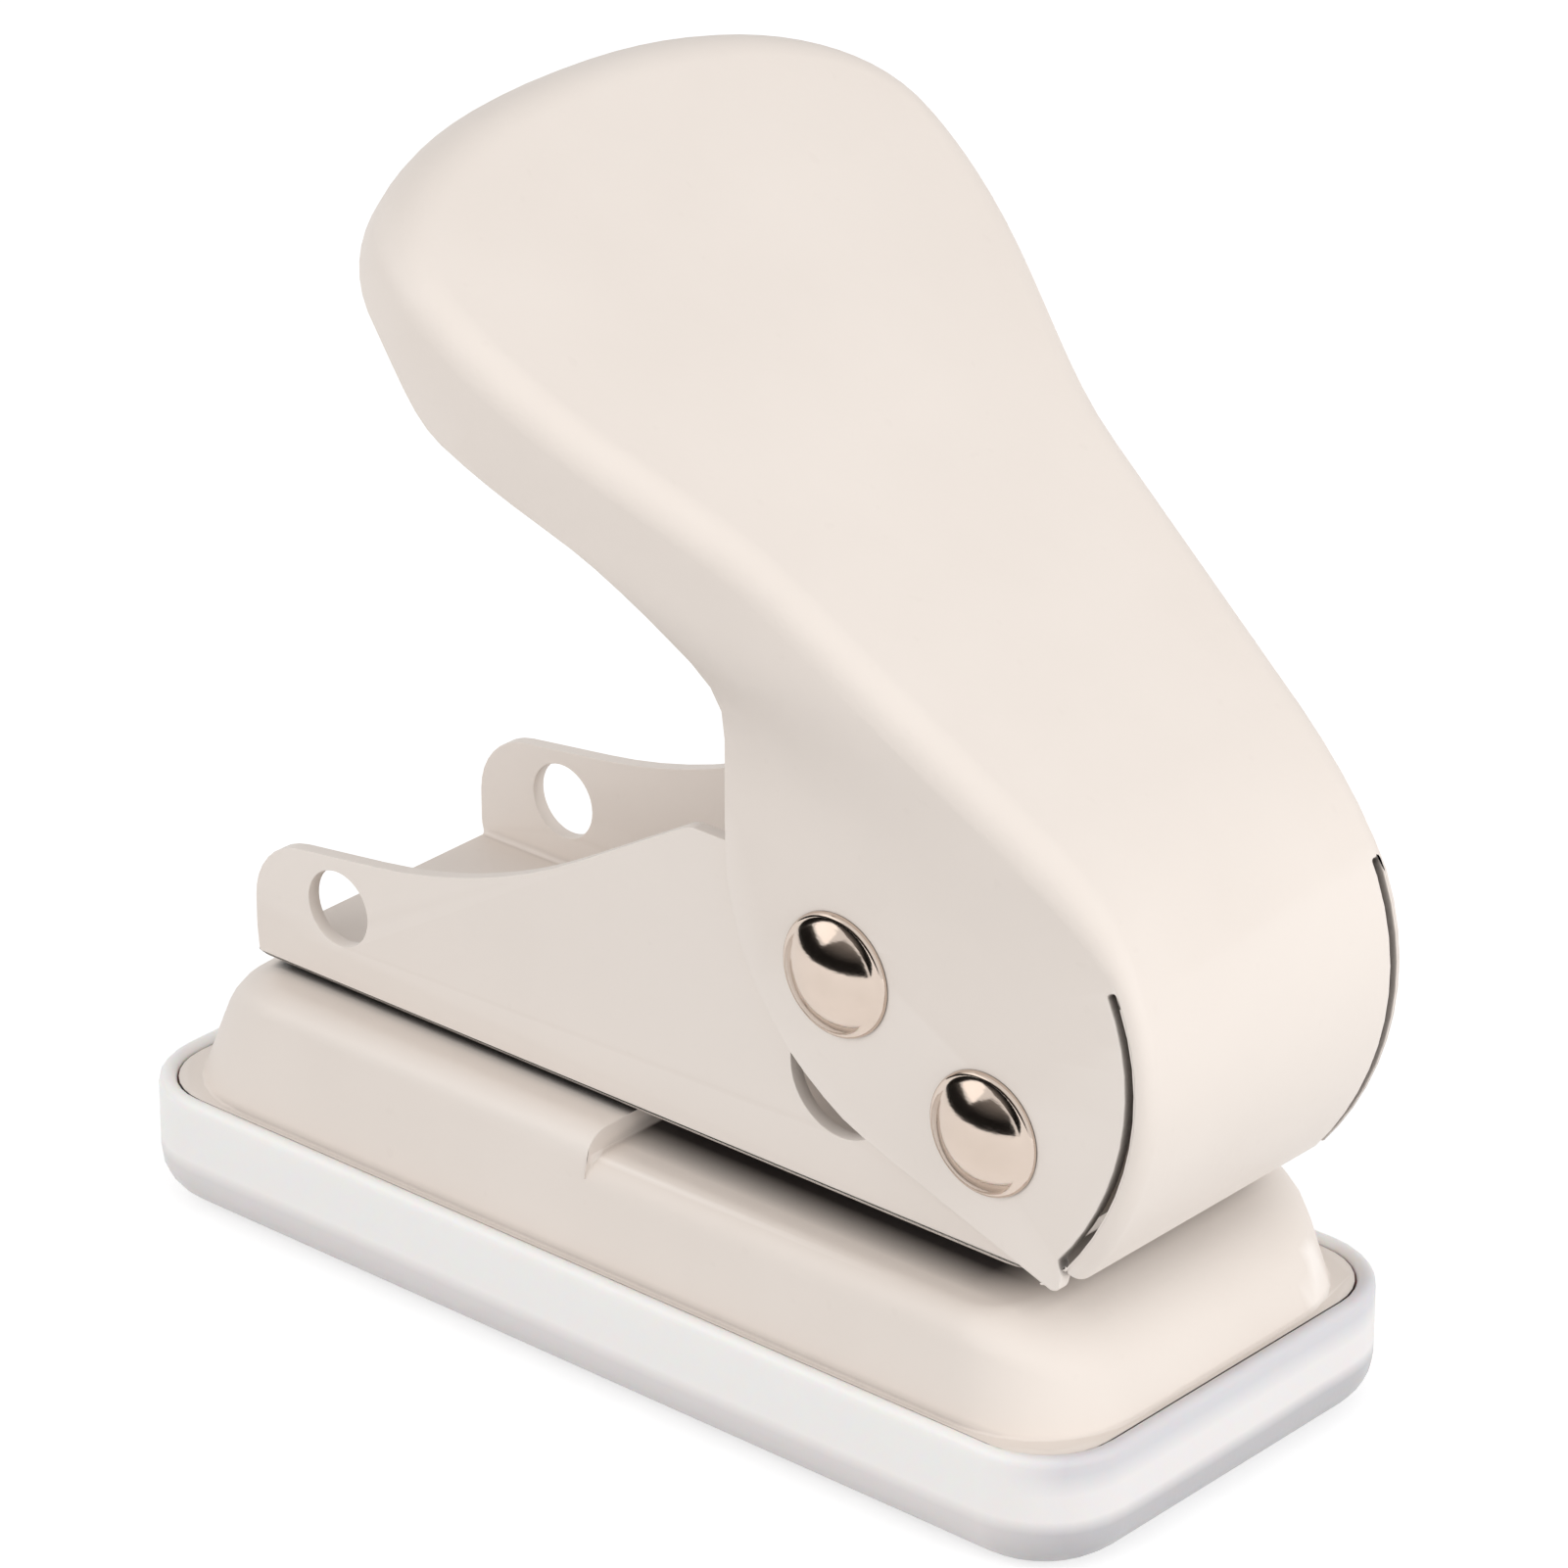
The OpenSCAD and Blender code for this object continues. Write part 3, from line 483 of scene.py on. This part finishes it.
# a ring of points is extruded from radius to radius along the pin, and both ends are closed
def turnedPin(profile, middle):
    axis = Vector((0, 1, 0))
    first = (middle + axis * profile[0][0]) * mm
    bpy.ops.object.select_all(action="DESELECT")
    bpy.ops.mesh.primitive_circle_add(
        vertices=pins["sides"], radius=profile[0][1] * mm,
        location=first, rotation=(math.radians(90), 0, 0))
    piece = bpy.context.object
    bpy.ops.object.transform_apply(location=True, rotation=True, scale=True)
    bpy.ops.object.mode_set(mode="EDIT")
    bpy.ops.mesh.select_mode(type="EDGE")
    bpy.ops.mesh.select_all(action="SELECT")
    for (fromH, fromR), (toH, toR) in zip(profile, profile[1:]):
        grow = toR / fromR
        bpy.ops.mesh.extrude_edges_move(TRANSFORM_OT_translate={"value": axis * (toH - fromH) * mm})
        bpy.ops.transform.resize(value=(grow, 1, grow), center_override=(middle + axis * toH) * mm)
    bpy.ops.mesh.merge(type="CENTER")
    bpy.ops.mesh.select_all(action="DESELECT")
    bpy.ops.object.mode_set(mode="OBJECT")
    for vertex in piece.data.vertices:
        vertex.select = (vertex.co - first).length < profile[0][1] * pins["poleReach"] * mm
    bpy.ops.object.mode_set(mode="EDIT")
    bpy.ops.mesh.select_mode(type="VERT")
    bpy.ops.mesh.merge(type="CENTER")
    bpy.ops.mesh.select_all(action="SELECT")
    bpy.ops.mesh.normals_make_consistent(inside=False)
    bpy.ops.object.mode_set(mode="OBJECT")
    bpy.ops.object.shade_smooth_by_angle(angle=math.radians(pins["smooth"]))
    return piece


for node, name, shank in [("pivot_pin", "pivotPin", 5), ("drive_pin", "drivePin", 4)]:
    low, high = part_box(node)
    middle = (low + high) / 2 / mm
    piece = turnedPin(pinProfile(node, shank), middle)
    finishPiece(piece, name, bright, "lever", [node])
    print("turned", name)

# return spring: one wire wound between guide flange and punch head
coil = {"wire": 0.7, "turns": 4.5, "sides": 12, "steps": 40, "smooth": 50}


def woundSpring():
    low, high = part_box("return_spring")
    middle = (low + high) / 2 / mm
    radius = (high.x - low.x) / 2 / mm - coil["wire"] / 2
    floor = low.z / mm + coil["wire"] / 2
    rise = (high.z - low.z) / mm - coil["wire"]
    bpy.ops.object.select_all(action="DESELECT")
    bpy.ops.mesh.primitive_circle_add(
        vertices=coil["sides"], radius=coil["wire"] / 2 * mm, fill_type="NOTHING",
        location=(radius * mm, 0, 0), rotation=(math.radians(90), 0, 0))
    piece = bpy.context.object
    bpy.ops.object.transform_apply(location=True, rotation=True, scale=True)
    wind = piece.modifiers.new("wind", "SCREW")
    wind.angle = math.radians(360 * coil["turns"])
    wind.screw_offset = rise * mm
    wind.steps = int(coil["steps"] * coil["turns"])
    wind.render_steps = wind.steps
    wind.use_merge_vertices = False
    bpy.ops.object.modifier_apply(modifier="wind")
    bpy.ops.object.mode_set(mode="EDIT")
    bpy.ops.mesh.select_all(action="SELECT")
    bpy.ops.mesh.fill_holes(sides=0)
    bpy.ops.mesh.select_all(action="SELECT")
    bpy.ops.mesh.normals_make_consistent(inside=False)
    bpy.ops.object.mode_set(mode="OBJECT")
    bpy.ops.object.shade_smooth_by_angle(angle=math.radians(coil["smooth"]))
    piece.location = (middle.x * mm, 0, floor * mm)
    bpy.ops.object.transform_apply(location=True, rotation=True, scale=True)
    return piece, low.z, high.z


spring, springLow, springHigh = woundSpring()
finishPiece(spring, "returnSpring", wire, "base", ["return_spring"])
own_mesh(spring)
print("spring wound")

# inner turned parts keep their CAD form
for node in ["die_bush", "guide_bush", "pivot_spacer", "drive_spacer", "punch",
             "front_base_rivet", "rear_base_rivet"]:
    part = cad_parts[node]
    part.data.materials.clear()
    part.data.materials.append(steel)

# floor, world and lamps
studio = {"floor": 3.0, "under": 0.2, "glow": 0.6, "paint": 0.6, "sky": 0.63, "white": (1, 1, 1, 1),
          "key": {"way": (0.95, 0.12, 0.26), "far": 0.75, "size": 0.5, "power": 3.2},
          "fill": {"way": (-0.15, -0.85, 0.45), "far": 0.9, "size": 0.8, "power": 3.15}}


def seenRays(tap):
    kinds = ["Is Camera Ray", "Is Glossy Ray", "Is Transmission Ray"]
    seen, gloss, through = [tap.node("ShaderNodeLightPath", {}, {}, kind) for kind in kinds]
    return tap.sum("MAXIMUM", seen, tap.sum("MAXIMUM", gloss, through))


def glowing(tap, colour, strength):
    return tap.node("ShaderNodeEmission", {}, {"Color": colour, "Strength": strength})


bpy.ops.object.select_all(action="DESELECT")
bpy.ops.mesh.primitive_plane_add(size=studio["floor"], location=(0, 0, -studio["under"] * mm))
floor = bpy.context.object
floor.name = "floor"
floorLook, tap = newMaterial("paleFloor")
matte = tap.node("ShaderNodeBsdfDiffuse", {}, {"Color": (studio["paint"],) * 3 + (1,)})
glow = glowing(tap, studio["white"], seenRays(tap) * studio["glow"])
shown(tap, tap.node("ShaderNodeAddShader", {}, {0: matte, 1: glow}))
floor.data.materials.append(floorLook)

# dark card round the near side, seen only in glossy rays, meant for the polished heads: rows of
# (azimuth, height) in degrees
card = {"far": 1.1, "every": 2, "lift": 0.1, "tint": (1, 0.93, 0.88, 1),
        "dark": 0.012, "pale": 0.22, "paleFrom": 0.30, "paleTo": 0.75,
        "crest": [(-92, 1), (-74, 20), (-60, 22), (-36, 20), (-24, 30),
                  (-8, 40), (10, 36), (26, 26), (38, 1)]}


def crestAt(azimuth):
    for (fromA, fromE), (toA, toE) in zip(card["crest"], card["crest"][1:]):
        if azimuth <= toA:
            return fromE + (toE - fromE) * (azimuth - fromA) / (toA - fromA)
    return card["crest"][-1][1]


def bearing(point):
    return math.degrees(math.atan2(point.x, -point.y))


bpy.ops.object.select_all(action="DESELECT")
bpy.ops.mesh.primitive_circle_add(vertices=360 // card["every"], radius=card["far"])
darkCard = bpy.context.object
darkCard.name = "darkCard"
bpy.ops.object.mode_set(mode="EDIT")
bpy.ops.mesh.select_mode(type="VERT")
bpy.ops.mesh.select_all(action="DESELECT")
bpy.ops.object.mode_set(mode="OBJECT")
for vertex in darkCard.data.vertices:
    vertex.select = not card["crest"][0][0] <= bearing(vertex.co) <= card["crest"][-1][0]
bpy.ops.object.mode_set(mode="EDIT")
bpy.ops.mesh.delete(type="VERT")
bpy.ops.mesh.select_all(action="SELECT")
bpy.ops.mesh.extrude_edges_move(TRANSFORM_OT_translate={"value": (0, 0, card["lift"])})
bpy.ops.object.mode_set(mode="OBJECT")
for vertex in darkCard.data.vertices:
    if vertex.co.z > card["lift"] / 2:
        vertex.co.z = card["far"] * math.tan(math.radians(crestAt(bearing(vertex.co))))
cardLook, tap = newMaterial("darkCard")
upward = tap.node("ShaderNodeSeparateXYZ", {}, {"Vector": place(tap)}, "Z")
paler = spread(tap, upward, card["paleFrom"], card["paleTo"])
shown(tap, glowing(tap, card["tint"], card["dark"] + (card["pale"] - card["dark"]) * paler))
darkCard.data.materials.append(cardLook)

# bright window above the card
window = {"azimuth": -48, "elevation": 34, "far": 1.2, "wide": 0.72, "high": 0.42, "shine": 1.6,
          "tint": (1, 0.98, 0.96, 1)}
bpy.ops.object.select_all(action="DESELECT")
spot = towards(window["azimuth"], window["elevation"])
bpy.ops.mesh.primitive_plane_add(size=1, location=spot * window["far"], rotation=facing(spot))
pane = bpy.context.object
pane.name = "brightWindow"
bpy.ops.transform.resize(value=(window["wide"], window["high"], 1), orient_type="LOCAL")
paneLook, tap = newMaterial("brightWindow")
shown(tap, glowing(tap, window["tint"], window["shine"]))
pane.data.materials.append(paneLook)

for glossOnly in [darkCard, pane]:
    glossOnly.visible_camera = False
    glossOnly.visible_diffuse = False
    glossOnly.visible_transmission = False
    glossOnly.visible_shadow = False

world = bpy.data.worlds.new("studio")
scene.world = world
world.use_nodes = True
world.node_tree.nodes.clear()
tap = Tap(world.node_tree)
dim = tap.node("ShaderNodeBackground", {}, {"Color": studio["white"], "Strength": studio["sky"]})
white = tap.node("ShaderNodeBackground", {}, {"Color": studio["white"], "Strength": 1.0})
sky = tap.node("ShaderNodeMixShader", {}, {0: seenRays(tap), 1: dim, 2: white})
tap.node("ShaderNodeOutputWorld", {}, {"Surface": sky})

for name in ["key", "fill"]:
    lamp = studio[name]
    way = Vector(lamp["way"]).normalized()
    bpy.ops.object.light_add(type="AREA", location=way * lamp["far"], rotation=facing(way))
    bpy.context.object.name = name
    bpy.context.object.data.size = lamp["size"]
    bpy.context.object.data.energy = lamp["power"]
    bpy.context.object.visible_glossy = False
print("studio lit")

scene.view_settings.view_transform = "Standard"
